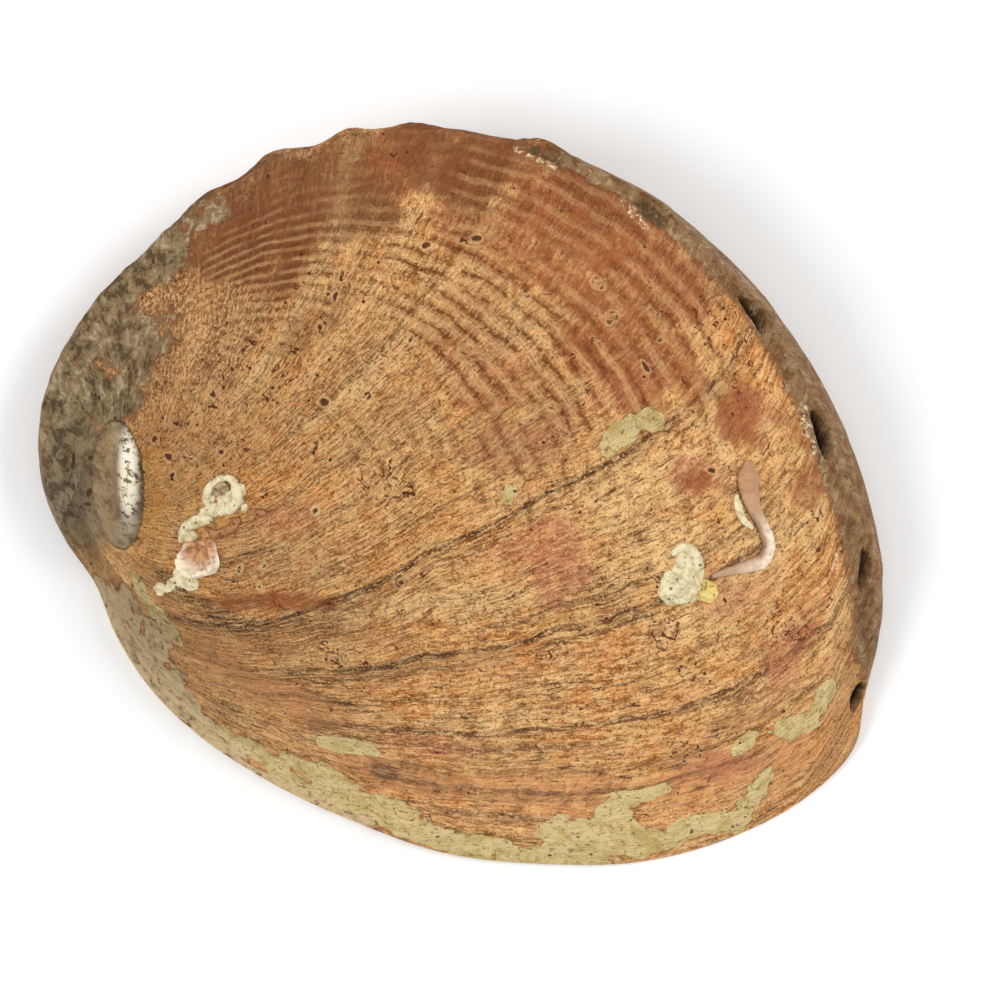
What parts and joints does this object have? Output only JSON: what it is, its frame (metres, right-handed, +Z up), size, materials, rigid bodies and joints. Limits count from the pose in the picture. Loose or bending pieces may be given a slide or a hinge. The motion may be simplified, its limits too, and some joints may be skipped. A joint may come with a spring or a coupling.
{
  "type": "abalone shell",
  "caption": "Large ear-shaped abalone shell lying mouth down, with a row of holes, a worn spire and chalky worm tubes on its back",
  "frame": {"origin": "middle of the bounding box's underside, on the plane that the rim rests on", "axes": "+X along the longest extent from the spire to the front of the lip, +Y towards the row of holes, +Z up through the back of the shell"},
  "size_m": [0.1803, 0.1425, 0.0505],
  "materials": {
    "shell": "matt weathered shell outside, pearly inside",
    "worm_tube": "smooth chalky tube, faintly lilac",
    "crust": "rough chalky crust"
  },
  "bodies": {
    "root": {"shell": "shell", "worm_tube": "worm_tube", "tube_knot": "crust", "tube_cluster": "crust"}
  },
  "joints": []
}
